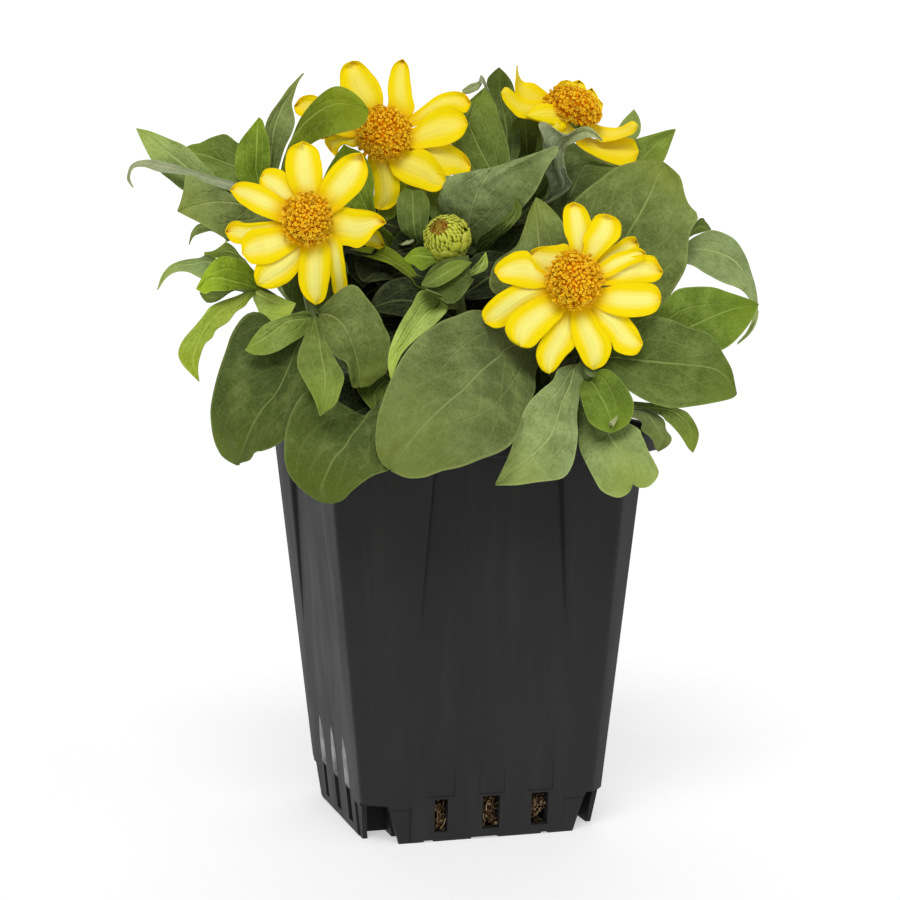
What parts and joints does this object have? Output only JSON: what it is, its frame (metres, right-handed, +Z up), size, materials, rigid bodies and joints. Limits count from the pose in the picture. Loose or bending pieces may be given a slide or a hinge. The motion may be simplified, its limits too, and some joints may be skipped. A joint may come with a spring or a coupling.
{
  "type": "potted zinnia",
  "caption": "Bushy zinnia with yellow daisy-like blooms, a bud and grey-green leaves, growing in a square black plastic nursery pot with drainage slots.",
  "frame": {"origin": "centre of the flat underside of the pot, where it stands", "axes": "+Z up along the pot's axis; -Y towards the pot's front side, which the two large front blooms face; +X to the viewer's right from there"},
  "size_m": [0.1928, 0.1639, 0.2437],
  "materials": {
    "pot_plastic": "satin moulded black plastic",
    "soil": "loose brown coir and peat growing mix",
    "foliage": "soft matte leaf with fine hairs and pale veins",
    "petal": "soft velvety yellow petal",
    "disc_floret": "small orange florets with pollen",
    "bud": "yellow-green closed scales"
  },
  "bodies": {
    "root": {"pot": "pot_plastic", "soil": "soil", "stem_left_bloom": "foliage", "stem_upper_bloom": "foliage", "stem_back_bloom": "foliage", "stem_right_bloom": "foliage", "stem_bud": "foliage", "stem_centre_shoot": "foliage", "stem_left_upper_shoot": "foliage", "stem_left_lower_shoot": "foliage", "stem_right_shoot": "foliage", "stem_rear_left_shoot": "foliage", "stem_rear_middle_shoot": "foliage", "stem_rear_right_shoot": "foliage", "left_bloom_rays": "petal", "upper_bloom_rays": "petal", "back_bloom_rays": "petal", "right_bloom_rays": "petal", "left_bloom_disc": "disc_floret", "upper_bloom_disc": "disc_floret", "back_bloom_disc": "disc_floret", "right_bloom_disc": "disc_floret", "bud": "bud"}
  },
  "joints": []
}
